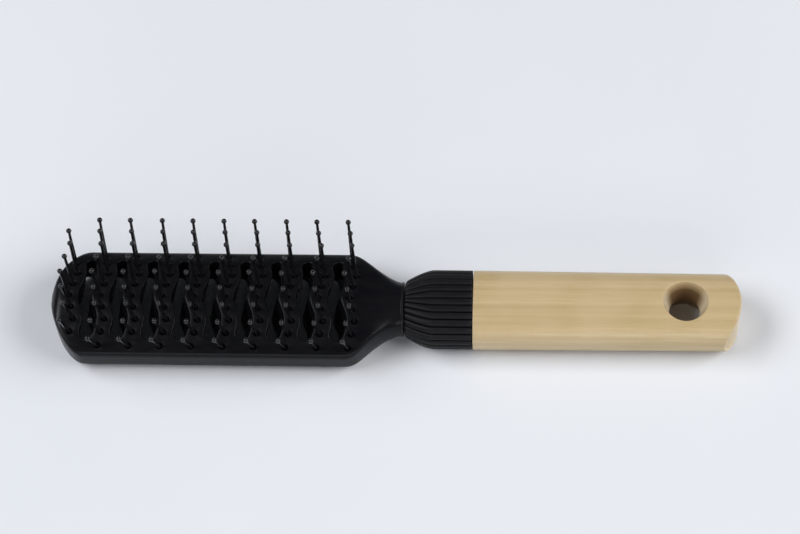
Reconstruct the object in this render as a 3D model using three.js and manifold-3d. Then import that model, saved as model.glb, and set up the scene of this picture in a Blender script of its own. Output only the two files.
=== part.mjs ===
// A vent hair brush, lying on its back with its pins pointing up. All lengths are in millimetres.
// X runs along the brush from the head's tip (-X) to the handle's end (+X), Y runs across it and Z is up.
// The origin is under the middle of the brush, on the surface that it rests on.
// "Station" is the distance along the brush from the head's tip, so x = station - LENGTH / 2.
import * as THREE from "three";
import { mergeVertices } from "three/addons/utils/BufferGeometryUtils.js";
import Module from "manifold-3d";

const wasm = await Module();
wasm.setup();

// The whole brush.
const LENGTH = 236;
const THICKNESS = 17.4;
const AXIS_Z = THICKNESS / 2;
const GAP = 0.3;
const ROD_SIDES = 24;

// The head: a crowned, hollow, flat-backed tunnel of two thin shells.
const HEAD_HALF_WIDTH = 20.4;
const HEAD_TOP_Z = 16.6;
const CROWN_RADIUS = 40;
const CROWN_CENTRE_Z = HEAD_TOP_Z - CROWN_RADIUS;
const EDGE_FILLET = 1.6;
const FLANK_TOP_Z = 5;
const FLAT_BACK_HALF_WIDTH = 9;
const WALL = 1.6;
const TIP_LENGTH = 12;
const TIP_CURVE = 1.7;
const TIP_BLUNTNESS = 0.66;
const TIP_FLAT_SHARE = 0.008;
const TIP_TOP_SLOPE = 4.5;
const TIP_BACK_SLOPE = 6;
const TIP_TOP_FRACTION = 0.3;
const TIP_BACK_FRACTION = 0.45;
const PARTING_Z = 4.6;
const CAVITY_START = 3.4;
const CAVITY_END = 107;
const CAVITY_TIP_LENGTH = 12.5;
const BACK_SHELL_END = 109;

// The neck, the shoulder ring that the collar butts against, and the tang inside collar and handle.
const NECK_START = 104.5;
const NECK_END = 121.5;
const NECK_SOFT_START = 4;
const NECK_HALF_WIDTH = 9.4;
const NECK_HALF_HEIGHT = 7.5;
const NECK_CURVE = 1.5;
const NECK_CORNER_SOFTNESS = 2.5;
const SHOULDER_THICKNESS = 0.8;
const SHOULDER_STAND_OFF = 0.15;
const TANG_HALF_WIDTH = 7.2;
const TANG_HALF_HEIGHT = 5.2;
const TANG_END = 165;

// Rows of pins, and the vents between them. Each row follows a wave that is even in Y.
const ROW_COUNT = 10;
const ROW_PITCH = 10.7;
const FIRST_ROW = 6.8;
const WAVE_HEIGHT = 2;
const WAVE_PERIOD = 17.5;
const VENT_HALF_WIDTH = 2.2;
const VENT_SWELL = 1;
const VENT_SWELL_Y = 6;
const VENT_REACH = 15;
const VENT_STEPS = 12;
const BACK_VENT_OFFSET = 3.4;
const PINS_PER_ROW = 9;
const OUTER_PIN_Y = 17.5;
const PIN_FAN = THREE.MathUtils.degToRad(20.5);
const PIN_LEAN = THREE.MathUtils.degToRad(2.2);
const PIN_LENGTH = 16.3;
const PIN_ROOT_RADIUS = 0.64;
const PIN_NECK_RADIUS = 0.45;
const PIN_BALL_RADIUS = 0.92;
const PIN_SIDES = 6;
const PIN_HOLE_SIDES = 5;
const PIN_HOLE_RADIUS = 1.06;
const BAR_GAP = 0.35;
const BAR_THICKNESS = 1.3;
const BAR_HALF_WIDTH = 1;
const BAR_END_Y = 18;
const FIRST_BAR_END_Y = 14;
const BAR_STEPS = 12;

// The ribbed grip collar.
const COLLAR_START = NECK_END + GAP;
const COLLAR_FULL = 131.5;
const COLLAR_END = 144.9;
const COLLAR_FRONT_HALF_WIDTH = 9.9;
const COLLAR_FRONT_HALF_HEIGHT = 7.8;
const COLLAR_SWELL_POWER = 1.45;
const RIB_COUNT = 28;
const RIB_DEPTHS = [1, 0.22, 0, 0.22];
const GROOVE_DEPTH = 0.55;
const RIB_END_ROUND = 0.9;

// The wooden handle, with its hanging hole and the socket for the tang.
const HANDLE_START = COLLAR_END + GAP;
const HANDLE_HALF_WIDTH = 14.1;
const HANDLE_END_HALF_WIDTH = 13.6;
const HANDLE_HALF_HEIGHT = AXIS_Z;
const HANDLE_SQUARENESS = 2.5;
const HANDLE_END_RADIUS = 20.6;
const HANDLE_END_CHAMFER = 1;
const HANDLE_SIDES = 40;
const OUTLINE_SAMPLES = 720;
const HOLE_STATION = 217.2;
const HOLE_SIDES = 24;
const HOLE_WAIST_RADIUS = 5.2;
const HOLE_MOUTH_RADIUS = 7.5;
const BOW_LENGTH = 27.8;
const SOCKET_CLEARANCE = 0.3;
const SOCKET_END = TANG_END + 0.5;

const BLACK_SATIN = { color: 0x191a1e, roughness: 0.42, metalness: 0 };
const BLACK_GLOSS = { color: 0x141518, roughness: 0.3, metalness: 0 };
const BLACK_RUBBER = { color: 0x1c1d21, roughness: 0.6, metalness: 0 };
const PALE_WOOD = { color: 0xe3cd9f, roughness: 0.45, metalness: 0 };

// ---- Solids ----

// Merges shared corners and leaves out triangles that have collapsed onto an edge.
function toSolid(geometry) {
  geometry.deleteAttribute("normal");
  geometry.deleteAttribute("uv");
  const merged = mergeVertices(geometry, 1e-3);
  const corners = merged.index.array;
  const kept = [];
  for (let i = 0; i < corners.length; i += 3) {
    const [a, b, c] = [corners[i], corners[i + 1], corners[i + 2]];
    if (a !== b && b !== c && c !== a) kept.push(a, b, c);
  }
  const vertProperties = Float32Array.from(merged.attributes.position.array);
  return new wasm.Manifold(new wasm.Mesh({ numProp: 3, vertProperties, triVerts: Uint32Array.from(kept) }));
}

function toGeometry(solid) {
  const mesh = solid.getMesh();
  const geometry = new THREE.BufferGeometry();
  geometry.setAttribute("position", new THREE.BufferAttribute(mesh.vertProperties, 3));
  geometry.setIndex(new THREE.BufferAttribute(mesh.triVerts, 1));
  geometry.computeVertexNormals();
  return geometry;
}

function toMesh(name, solid, look) {
  const mesh = new THREE.Mesh(toGeometry(solid), new THREE.MeshStandardMaterial(look));
  mesh.name = name;
  return mesh;
}

function atStation(station, y, z) {
  return new THREE.Vector3(station - LENGTH / 2, y, z);
}

// Skins closed rings that all have the same number of points. Each end is a fan around the ring's middle.
// The rings run anticlockwise as seen from +X, and follow each other towards +X.
function loft(rings) {
  const sides = rings[0].length;
  const points = rings.flat();
  const triangles = [];
  for (let r = 0; r + 1 < rings.length; r += 1) {
    for (let i = 0; i < sides; i += 1) {
      const here = r * sides + i;
      const next = r * sides + ((i + 1) % sides);
      triangles.push(here, next, next + sides, here, next + sides, here + sides);
    }
  }
  const capRing = (ring, first, towardsPlusX) => {
    const middle = new THREE.Vector3();
    ring.forEach((point) => middle.addScaledVector(point, 1 / sides));
    points.push(middle);
    const centre = points.length - 1;
    for (let i = 0; i < sides; i += 1) {
      const here = first + i;
      const next = first + ((i + 1) % sides);
      triangles.push(...(towardsPlusX ? [centre, here, next] : [centre, next, here]));
    }
  };
  capRing(rings[0], 0, false);
  capRing(rings.at(-1), (rings.length - 1) * sides, true);
  const geometry = new THREE.BufferGeometry().setFromPoints(points);
  geometry.setIndex(triangles);
  return geometry;
}

function boxBetween(low, high) {
  const size = new THREE.Vector3().subVectors(high, low);
  const middle = new THREE.Vector3().addVectors(low, high).multiplyScalar(0.5);
  return new THREE.BoxGeometry(size.x, size.y, size.z).translate(middle.x, middle.y, middle.z);
}

// A rod of elliptical section along X, centred on the brush's axis.
function ellipticalRod(start, end, halfWidth, halfHeight) {
  const shape = new THREE.Shape().absellipse(0, 0, halfWidth, halfHeight, 0, 2 * Math.PI);
  const options = { depth: end - start, bevelEnabled: false, curveSegments: ROD_SIDES };
  const rod = new THREE.ExtrudeGeometry(shape, options);
  rod.rotateX(Math.PI / 2).rotateZ(Math.PI / 2);
  return rod.translate(start - LENGTH / 2, 0, AXIS_Z);
}

// ---- The head's form ----

// Rises from a fraction at 0 to 1 at `length`, along a quarter of an ellipse.
function quarterRise(distance, length, fraction) {
  const left = 1 - THREE.MathUtils.clamp(distance / length, 0, 1);
  return fraction + (1 - fraction) * Math.sqrt(1 - left * left);
}

function tipHalfWidth(station) {
  const left = 1 - THREE.MathUtils.clamp(station / TIP_LENGTH, TIP_FLAT_SHARE, 1);
  return HEAD_HALF_WIDTH * (1 - left ** TIP_CURVE) ** TIP_BLUNTNESS;
}

// Straight sides that turn through a soft corner into the neck's hollow curve.
function neckHalfWidth(station) {
  const left = 1 - Math.min((station - NECK_START) / (NECK_END - NECK_START), 1);
  const spread = left > 1 ? 1 + NECK_CURVE * (left - 1) : left ** NECK_CURVE;
  const curve = NECK_HALF_WIDTH + (HEAD_HALF_WIDTH - NECK_HALF_WIDTH) * spread;
  const nearness = Math.max(1 - Math.abs(curve - HEAD_HALF_WIDTH) / NECK_CORNER_SOFTNESS, 0);
  return Math.min(curve, HEAD_HALF_WIDTH) - (nearness * nearness * NECK_CORNER_SOFTNESS) / 4;
}

function headHalfWidth(station, inset) {
  return Math.min(tipHalfWidth(station - inset), neckHalfWidth(station + inset)) - inset;
}

// Half of the head's section, from the middle of the crown out and down to the middle of the flat back.
// The crown keeps its radius at every width, so a narrow section has higher shoulders than a wide one.
function halfSection(halfWidth, inset) {
  const crown = CROWN_RADIUS - inset;
  const fillet = Math.max(EDGE_FILLET - inset, 0.5);
  const filletZ = CROWN_CENTRE_Z + Math.sqrt((crown - fillet) ** 2 - (halfWidth - fillet) ** 2);
  const crownAngle = Math.atan2(halfWidth - fillet, filletZ - CROWN_CENTRE_Z);
  const flatHalfWidth = (FLAT_BACK_HALF_WIDTH * halfWidth) / HEAD_HALF_WIDTH;
  const points = [];
  const crownSteps = 6;
  for (let i = 0; i <= crownSteps; i += 1) {
    const angle = (crownAngle * i) / crownSteps;
    points.push([crown * Math.sin(angle), CROWN_CENTRE_Z + crown * Math.cos(angle)]);
  }
  const filletSteps = inset > 0 ? 1 : 3;
  for (let i = 1; i <= filletSteps; i += 1) {
    const angle = crownAngle + ((Math.PI / 2 - crownAngle) * i) / filletSteps;
    points.push([halfWidth - fillet + fillet * Math.sin(angle), filletZ + fillet * Math.cos(angle)]);
  }
  const flankSteps = inset > 0 ? 3 : 5;
  for (let i = 0; i <= flankSteps; i += 1) {
    const angle = (Math.PI / 2) * (i / flankSteps);
    const y = flatHalfWidth + (halfWidth - flatHalfWidth) * Math.cos(angle);
    points.push([y, FLANK_TOP_Z - (FLANK_TOP_Z - inset) * Math.sin(angle)]);
  }
  points.push([0, inset]);
  return points;
}

// The head's section as a closed ring, anticlockwise as seen from +X, starting at the top.
function closedSection(halfWidth, inset) {
  const half = halfSection(halfWidth, inset);
  const between = half.slice(1, -1);
  return [half[0], ...between.map(([y, z]) => [-y, z]), half.at(-1), ...between.reverse()];
}

// The solid head narrows at its tip and turns into an oval neck. An inset ring is a wall's inside.
function headRing(station, inset) {
  const halfWidth = headHalfWidth(station, inset);
  const toNeck = THREE.MathUtils.smoothstep(station, NECK_START, NECK_END);
  const topRise = inset > 0 ? 1 : quarterRise(station, TIP_TOP_SLOPE, TIP_TOP_FRACTION);
  const backRise = inset > 0 ? 1 : quarterRise(station, TIP_BACK_SLOPE, TIP_BACK_FRACTION);
  return closedSection(halfWidth, inset).map(([y, z]) => {
    const height = z - AXIS_Z;
    const angle = Math.atan2(height / AXIS_Z, y / halfWidth);
    const sectionY = THREE.MathUtils.lerp(y, halfWidth * Math.cos(angle), toNeck);
    const sectionHeight = THREE.MathUtils.lerp(height, NECK_HALF_HEIGHT * Math.sin(angle), toNeck);
    const rise = height > 0 ? topRise : backRise;
    return atStation(station, sectionY, AXIS_Z + sectionHeight * rise);
  });
}

// Stations from start to end. With `packed`, they lie closer together near the start, as on a round tip.
function stationsBetween(start, end, steps, packed = false) {
  const along = (share) => (packed ? 1 - Math.cos((share * Math.PI) / 2) : share);
  return Array.from({ length: steps + 1 }, (_, i) => start + (end - start) * along(i / steps));
}

function headBody() {
  const tip = stationsBetween(0, TIP_LENGTH, 9, true);
  const neck = stationsBetween(NECK_START - NECK_SOFT_START, NECK_END, 9);
  return toSolid(loft([...tip, ...neck].map((station) => headRing(station, 0))));
}

function headInterior(inset, start, end) {
  const tip = stationsBetween(start, start + CAVITY_TIP_LENGTH, 6, true);
  const neck = stationsBetween(end - 2 * NECK_SOFT_START, end, 4);
  return toSolid(loft([...tip, ...neck].map((station) => headRing(station, inset))));
}

// ---- Rows, vents and pins ----

function wave(y) {
  return (WAVE_HEIGHT / 2) * (1 - Math.cos((2 * Math.PI * y) / WAVE_PERIOD));
}

function rowStation(row) {
  return FIRST_ROW + ROW_PITCH * row;
}

// The point on the crown at a distance y from the brush's middle plane, `depth` under its surface.
function underCrown(station, y, depth) {
  const angle = Math.asin(y / CROWN_RADIUS);
  const radius = CROWN_RADIUS - depth;
  return atStation(station, radius * Math.sin(angle), CROWN_CENTRE_Z + radius * Math.cos(angle));
}

// The station of a vent's edge: side 1 is the edge towards the handle, and -1 the one towards the tip.
// The vent is wider on either side of the middle plane than on it.
function ventEdge(middle, y, side) {
  const swell = side > 0 ? VENT_SWELL * Math.min(Math.abs(y) / VENT_SWELL_Y, 1) : 0;
  return middle + wave(y) + side * VENT_HALF_WIDTH + swell;
}

// A wavy slot with round ends, cut straight through one of the shells.
function ventCutter(middle, low, high) {
  const endRadius = VENT_HALF_WIDTH + VENT_SWELL / 2;
  const straight = VENT_REACH - endRadius;
  const outline = [];
  const endSteps = 3;
  const addEdge = (side) => {
    for (let i = 0; i <= VENT_STEPS; i += 1) {
      const y = side * straight * ((2 * i) / VENT_STEPS - 1);
      outline.push(new THREE.Vector2(ventEdge(middle, y, side), y));
    }
    const endMiddle = (ventEdge(middle, straight, 1) + ventEdge(middle, straight, -1)) / 2;
    for (let i = 1; i < endSteps; i += 1) {
      const angle = (Math.PI * i) / endSteps;
      const x = endMiddle + side * endRadius * Math.cos(angle);
      outline.push(new THREE.Vector2(x, side * (straight + endRadius * Math.sin(angle))));
    }
  };
  addEdge(1);
  addEdge(-1);
  const shape = new THREE.Shape(outline);
  const slot = new THREE.ExtrudeGeometry(shape, { depth: high - low, bevelEnabled: false });
  return toSolid(slot.translate(-LENGTH / 2, 0, low));
}

// One vent half way between two rows of pins, through the front shell's crown.
function frontVent(gapNumber) {
  return ventCutter(rowStation(gapNumber) + ROW_PITCH / 2, AXIS_Z, THICKNESS + 1);
}

// The back shell's vents are the same slots, but lie nearer to the tip.
function backVent(gapNumber) {
  return ventCutter(rowStation(gapNumber) + ROW_PITCH / 2 - BACK_VENT_OFFSET, -1, AXIS_Z);
}

// The pins of a row as { base, direction }. The first row has no room for the outermost two.
function pinsOfRow(row) {
  const half = (PINS_PER_ROW - 1) / 2;
  const reach = row === 0 ? half - 1 : half;
  const pins = [];
  for (let i = -reach; i <= reach; i += 1) {
    const across = i / half;
    const y = OUTER_PIN_Y * across;
    const fan = PIN_FAN * across;
    const base = underCrown(rowStation(row) + wave(y), y, 0);
    const direction = new THREE.Vector3(-Math.tan(PIN_LEAN), Math.sin(fan), Math.cos(fan)).normalize();
    pins.push({ base, direction });
  }
  return pins;
}

// A lathe profile of [radius, height] pairs, turned about a line through `base` along `direction`.
function turnedAlong(profile, sides, base, direction) {
  const points = profile.map(([radius, height]) => new THREE.Vector2(radius, height));
  const turned = new THREE.LatheGeometry(points, sides);
  const upright = new THREE.Vector3(0, 1, 0);
  turned.applyQuaternion(new THREE.Quaternion().setFromUnitVectors(upright, direction));
  return toSolid(turned.translate(base.x, base.y, base.z));
}

function pinSolid({ base, direction }) {
  const root = -(WALL + BAR_GAP + BAR_THICKNESS / 2);
  const slantHeight = PIN_BALL_RADIUS * Math.sin(Math.PI / 4);
  const profile = [
    [0, root],
    [PIN_ROOT_RADIUS, root],
    [PIN_NECK_RADIUS, PIN_LENGTH - PIN_BALL_RADIUS],
    [PIN_BALL_RADIUS, PIN_LENGTH],
    [slantHeight, PIN_LENGTH + slantHeight],
    [0, PIN_LENGTH + PIN_BALL_RADIUS],
  ];
  return turnedAlong(profile, PIN_SIDES, base, direction);
}

function pinHole({ base, direction }) {
  const reach = WALL + 1;
  const profile = [
    [0, -reach],
    [PIN_HOLE_RADIUS, -reach],
    [PIN_HOLE_RADIUS, 1],
    [0, 1],
  ];
  return turnedAlong(profile, PIN_HOLE_SIDES, base, direction);
}

// The wavy bar behind a row's rib, which joins the row's pins.
function barSolid(row) {
  const endY = row === 0 ? FIRST_BAR_END_Y : BAR_END_Y;
  const top = WALL + BAR_GAP;
  const bottom = top + BAR_THICKNESS;
  const rings = [];
  for (let i = 0; i <= BAR_STEPS; i += 1) {
    const y = endY * ((2 * i) / BAR_STEPS - 1);
    const middle = rowStation(row) + wave(y);
    rings.push([
      underCrown(middle - BAR_HALF_WIDTH, y, top),
      underCrown(middle + BAR_HALF_WIDTH, y, top),
      underCrown(middle + BAR_HALF_WIDTH, y, bottom),
      underCrown(middle - BAR_HALF_WIDTH, y, bottom),
    ]);
  }
  return toSolid(loft(rings));
}

// ---- Sub-parts ----

function shoulderAndTang() {
  const shoulder = ellipticalRod(
    NECK_END - SHOULDER_THICKNESS,
    NECK_END,
    NECK_HALF_WIDTH + SHOULDER_STAND_OFF,
    NECK_HALF_HEIGHT + SHOULDER_STAND_OFF,
  );
  const tang = ellipticalRod(NECK_END - SHOULDER_THICKNESS, TANG_END, TANG_HALF_WIDTH, TANG_HALF_HEIGHT);
  return toSolid(shoulder).add(toSolid(tang));
}

// Everything under the parting line, and in front of the neck, belongs to the back shell.
function backRegion(grow) {
  const low = atStation(-1, -LENGTH, -1);
  const high = atStation(BACK_SHELL_END + grow, LENGTH, PARTING_Z + grow);
  return toSolid(boxBetween(low, high));
}

function frontShell(body, cavity, vents, rows) {
  let shell = body.subtract(backRegion(GAP / 2)).subtract(cavity);
  for (const vent of vents) shell = shell.subtract(vent);
  for (const pin of rows.flat()) shell = shell.subtract(pinHole(pin));
  return shell.add(shoulderAndTang());
}

function backShell(body, cavity, vents) {
  let shell = body.intersect(backRegion(-GAP / 2)).subtract(cavity);
  for (const vent of vents) shell = shell.subtract(vent);
  return shell;
}

function pinStrip(row, pins, room) {
  let strip = barSolid(row).intersect(room);
  for (const pin of pins) strip = strip.add(pinSolid(pin));
  return strip;
}

// A point on a squared-off ellipse in the section plane, and the outward normal there.
function squaredEllipse(angle, halfWidth, halfHeight, squareness) {
  const across = Math.cos(angle);
  const up = Math.sin(angle);
  const y = Math.sign(across) * Math.abs(across) ** (2 / squareness);
  const z = Math.sign(up) * Math.abs(up) ** (2 / squareness);
  const normal = new THREE.Vector2(
    (Math.sign(y) * Math.abs(y) ** (squareness - 1)) / halfWidth,
    (Math.sign(z) * Math.abs(z) ** (squareness - 1)) / halfHeight,
  ).normalize();
  return { point: new THREE.Vector2(y * halfWidth, z * halfHeight), normal };
}

// Angles that split the handle's outline into pieces of equal length.
function evenAngles(count) {
  const samples = OUTLINE_SAMPLES;
  const angleAt = (i) => (2 * Math.PI * i) / samples;
  const size = [HANDLE_HALF_WIDTH, HANDLE_HALF_HEIGHT];
  const pointAt = (i) => squaredEllipse(angleAt(i), ...size, HANDLE_SQUARENESS).point;
  const travelled = [0];
  for (let i = 1; i <= samples; i += 1) {
    travelled.push(travelled[i - 1] + pointAt(i).distanceTo(pointAt(i - 1)));
  }
  const angles = [];
  for (let k = 0; k < count; k += 1) {
    const target = (travelled[samples] * k) / count;
    const after = travelled.findIndex((length) => length > target);
    const share = (target - travelled[after - 1]) / (travelled[after] - travelled[after - 1]);
    angles.push(angleAt(after - 1 + share));
  }
  return angles;
}

// The room for the tang, from one station to another, inside the collar and the handle.
function tangSocket(start, end) {
  const halfWidth = TANG_HALF_WIDTH + SOCKET_CLEARANCE;
  return toSolid(ellipticalRod(start, end, halfWidth, TANG_HALF_HEIGHT + SOCKET_CLEARANCE));
}

// Convex ribs with narrow grooves between them, swelling from the neck's size to the handle's.
// RIB_DEPTHS gives the share of the groove's depth at each point around one rib, from groove to crest.
function gripCollar() {
  const angles = evenAngles(RIB_COUNT * RIB_DEPTHS.length);
  const ring = (station, swell, sink) =>
    angles.map((angle, i) => {
      const halfWidth = THREE.MathUtils.lerp(COLLAR_FRONT_HALF_WIDTH, HANDLE_HALF_WIDTH, swell);
      const halfHeight = THREE.MathUtils.lerp(COLLAR_FRONT_HALF_HEIGHT, HANDLE_HALF_HEIGHT, swell);
      const squareness = THREE.MathUtils.lerp(2, HANDLE_SQUARENESS, swell);
      const { point, normal } = squaredEllipse(angle, halfWidth, halfHeight, squareness);
      point.addScaledVector(normal, -sink - GROOVE_DEPTH * RIB_DEPTHS[i % RIB_DEPTHS.length]);
      return atStation(station, point.x, AXIS_Z + point.y);
    });
  const swellSteps = 4;
  const rings = [ring(COLLAR_START, 0, RIB_END_ROUND)];
  for (let i = 0; i <= swellSteps; i += 1) {
    const share = i / swellSteps;
    const start = COLLAR_START + RIB_END_ROUND;
    const swell = 1 - (1 - share) ** COLLAR_SWELL_POWER;
    rings.push(ring(THREE.MathUtils.lerp(start, COLLAR_FULL, share), swell, 0));
  }
  rings.push(ring(COLLAR_END, 1, 0));
  return toSolid(loft(rings)).subtract(tangSocket(COLLAR_START - 1, COLLAR_END + 1));
}

// One ring of the handle, which narrows a little along its length.
// With a bow of 1, the ring's middle reaches `station` and its sides fall behind it along an arc.
function handleRing(angles, station, bow, size) {
  const share = (station - HANDLE_START) / (LENGTH - HANDLE_START);
  const halfWidth = THREE.MathUtils.lerp(HANDLE_HALF_WIDTH, HANDLE_END_HALF_WIDTH, share);
  return angles.map((angle) => {
    const { point } = squaredEllipse(angle, halfWidth, HANDLE_HALF_HEIGHT, HANDLE_SQUARENESS);
    const fallBack = HANDLE_END_RADIUS - Math.sqrt(HANDLE_END_RADIUS ** 2 - point.x ** 2);
    return atStation(station - bow * fallBack, point.x * size, AXIS_Z + point.y * size);
  });
}

// The hanging hole is flared from both faces and narrowest halfway through the handle.
function hangingHole() {
  const top = HANDLE_HALF_HEIGHT + 1;
  const flare = (HOLE_MOUTH_RADIUS - HOLE_WAIST_RADIUS) / HANDLE_HALF_HEIGHT;
  const mouth = HOLE_WAIST_RADIUS + flare * top;
  const profile = [
    [0, -top],
    [mouth, -top],
    [HOLE_WAIST_RADIUS, 0],
    [mouth, top],
    [0, top],
  ];
  const points = profile.map(([radius, height]) => new THREE.Vector2(radius, height));
  const cutter = new THREE.LatheGeometry(points, HOLE_SIDES).rotateX(Math.PI / 2);
  return toSolid(cutter.translate(HOLE_STATION - LENGTH / 2, 0, AXIS_Z));
}

function woodHandle() {
  const angles = evenAngles(HANDLE_SIDES);
  const bowStart = LENGTH - HANDLE_END_CHAMFER - BOW_LENGTH;
  const rings = [
    handleRing(angles, HANDLE_START, 0, 1),
    handleRing(angles, bowStart, 0, 1),
    handleRing(angles, LENGTH - HANDLE_END_CHAMFER, 1, 1),
    handleRing(angles, LENGTH, 1, 1 - HANDLE_END_CHAMFER / HANDLE_HALF_WIDTH),
  ];
  return toSolid(loft(rings)).subtract(hangingHole()).subtract(tangSocket(HANDLE_START - 1, SOCKET_END));
}

function buildBrush() {
  const brush = new THREE.Group();
  const body = headBody();
  const cavity = headInterior(WALL, CAVITY_START, CAVITY_END);
  const barRoom = headInterior(WALL + GAP, CAVITY_START + GAP, CAVITY_END - GAP);
  const rows = Array.from({ length: ROW_COUNT }, (_, row) => pinsOfRow(row));
  const frontVents = Array.from({ length: ROW_COUNT - 1 }, (_, gapNumber) => frontVent(gapNumber));
  const backVents = Array.from({ length: ROW_COUNT - 1 }, (_, gapNumber) => backVent(gapNumber));
  brush.add(toMesh("front_shell", frontShell(body, cavity, frontVents, rows), BLACK_SATIN));
  brush.add(toMesh("back_shell", backShell(body, cavity, backVents), BLACK_SATIN));
  rows.forEach((pins, row) => {
    const name = `pin_strip_${String(row + 1).padStart(2, "0")}`;
    brush.add(toMesh(name, pinStrip(row, pins, barRoom), BLACK_GLOSS));
  });
  brush.add(toMesh("grip_collar", gripCollar(), BLACK_RUBBER));
  brush.add(toMesh("wood_handle", woodHandle(), PALE_WOOD));
  return brush;
}

const group = buildBrush();
export default group;
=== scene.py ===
"""A vent hair brush lying on its back on a pale floor: a black head with wavy vents through it and
ball-tipped pins, a ribbed collar and a pale wooden handle. Sizes in the constants are millimetres, and
meshes are scaled to metres. A station is the distance along the brush from the head's tip."""
import math
import random

import bmesh
import bpy
from mathutils import Matrix, Vector, kdtree
from mathutils.geometry import delaunay_2d_cdt


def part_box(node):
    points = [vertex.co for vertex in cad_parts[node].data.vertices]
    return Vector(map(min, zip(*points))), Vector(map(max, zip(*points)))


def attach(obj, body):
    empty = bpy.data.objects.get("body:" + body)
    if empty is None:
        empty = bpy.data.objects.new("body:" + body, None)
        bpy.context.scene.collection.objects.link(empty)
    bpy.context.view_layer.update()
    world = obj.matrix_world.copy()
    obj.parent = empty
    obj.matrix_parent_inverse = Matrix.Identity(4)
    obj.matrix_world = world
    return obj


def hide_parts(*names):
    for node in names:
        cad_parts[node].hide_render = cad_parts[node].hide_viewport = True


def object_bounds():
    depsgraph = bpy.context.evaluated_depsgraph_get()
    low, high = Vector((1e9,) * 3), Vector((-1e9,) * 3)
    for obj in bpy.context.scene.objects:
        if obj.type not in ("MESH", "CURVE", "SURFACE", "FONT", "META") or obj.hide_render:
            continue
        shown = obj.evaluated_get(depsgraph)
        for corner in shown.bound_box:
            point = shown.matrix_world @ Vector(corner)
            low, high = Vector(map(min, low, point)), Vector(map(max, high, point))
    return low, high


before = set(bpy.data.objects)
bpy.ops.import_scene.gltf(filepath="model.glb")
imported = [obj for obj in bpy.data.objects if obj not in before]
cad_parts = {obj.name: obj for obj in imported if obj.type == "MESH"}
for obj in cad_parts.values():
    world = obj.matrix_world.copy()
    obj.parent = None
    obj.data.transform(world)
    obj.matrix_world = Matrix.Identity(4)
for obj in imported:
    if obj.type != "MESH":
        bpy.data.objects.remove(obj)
CAD_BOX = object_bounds()

MM = 0.001
BODY = "root"
SEED = 11
WELD = 0.002
SHARP_ANGLE = 50
SHELL_SHARP_ANGLE = 38


def box_mm(node):
    low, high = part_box(node)
    return low / MM, high / MM


# ---- Sizes read from the frame ----
LOW, HIGH = CAD_BOX[0] / MM, CAD_BOX[1] / MM
LENGTH = HIGH.x - LOW.x
HEAD_HIGH = box_mm("front_shell")[1]
COLLAR_LOW, COLLAR_HIGH = box_mm("grip_collar")
HANDLE_LOW, HANDLE_HIGH = box_mm("wood_handle")
HEAD_HALF_WIDTH = HEAD_HIGH.y
HEAD_TOP_Z = HEAD_HIGH.z
AXIS_Z = HANDLE_HIGH.z / 2
COLLAR_START = COLLAR_LOW.x - LOW.x
COLLAR_END = COLLAR_HIGH.x - LOW.x
HANDLE_START = HANDLE_LOW.x - LOW.x
HANDLE_HALF_WIDTH = HANDLE_HIGH.y
HANDLE_HALF_HEIGHT = AXIS_Z

# ---- The head's sizes ----
CROWN_RADIUS = 40
CROWN_CENTRE_Z = HEAD_TOP_Z - CROWN_RADIUS
EDGE_FILLET = 2.4
FLANK_TOP_Z = 5
FLAT_BACK_SHARE = 0.44
# The outline narrows over the tip's length with these two powers; the neck's outline has a power too.
TIP_LENGTH = 12
TIP_CURVE = 1.7
TIP_BLUNTNESS = 0.66
TIP_TOP_SLOPE = 4.5
TIP_TOP_FRACTION = 0.3
TIP_BACK_SLOPE = 6
PARTING_Z = 4.6
PARTING_GAP = 0.24
BACK_SHELL_END = 109
NECK_START = 104.5
# The shoulder's profile is (distance along it, share of the stand-off).
SHOULDER_WIDTH = 0.9
SHOULDER_STAND_OFF = 0.14
SHOULDER_PROFILE = ((0, 0), (0.06, 0.7), (0.2, 1), (0.7, 1), (0.86, 0.6), (SHOULDER_WIDTH, 0))
NECK_END = COLLAR_START - 0.3
NECK_HALF_WIDTH = 9.4
NECK_HALF_HEIGHT = 7.5
NECK_CURVE = 1.5
NECK_CORNER_SOFTNESS = 2.5
TANG_HALF_WIDTH = 7.2
TANG_HALF_HEIGHT = 5.2
TANG_END = 165
TANG_CLEARANCE = 0.3
BACK_SHEET_ANGLE = math.radians(25)
SHEET_STEP = 1.25
SHEET_CLEARANCE = 0.45 * SHEET_STEP
SHEET_TOLERANCE = 1e-5
SLIVER_AREA = 0.0005

# ---- Rows, vents and pins ----
WAVE_HEIGHT = 2
WAVE_PERIOD = 17.5
STRIP_HALF_WIDTH = 1
ROW_COUNT = 10
VENT_HALF_WIDTH = 2.2
VENT_SWELL = 0.5
VENT_SWELL_Y = 6
VENT_REACH = 15.6
# A vent's rim and flank change across the head, between the two values of Y in the pairs.
VENT_RIM = 0.42
VENT_HANDLE_RIM = 1.0
VENT_RIM_Y = (-9, 3)
VENT_RIM_DEPTH = 0.8
VENT_FLANK = 1.7
VENT_FLANK_DEPTH = 1.5
VENT_FLANK_Y = (-3, 9)
BACK_VENT_OFFSET = 3.4
PINS_PER_ROW = 9
OUTER_PIN_Y = 17.5
PIN_FAN = math.radians(20)
PIN_LEAN = math.radians(2.2)
PIN_LENGTH = 16.25
# The root's profile is (radius, height above the crown).
PIN_ROOT = ((0.6, -2.3), (0.72, -0.9), (0.7, 0), (0.66, 0.8))
PIN_THROAT_RADIUS = 0.46
PIN_TAPER = 1.2
PIN_BALL_RADIUS = 0.93
PIN_SIDES = 14
PIN_WANDER = math.radians(0.7)
SOCKET_RADIUS = 1.1
SOCKET_RIM = 0.18
SOCKET_DEPTH = 2.5

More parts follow.
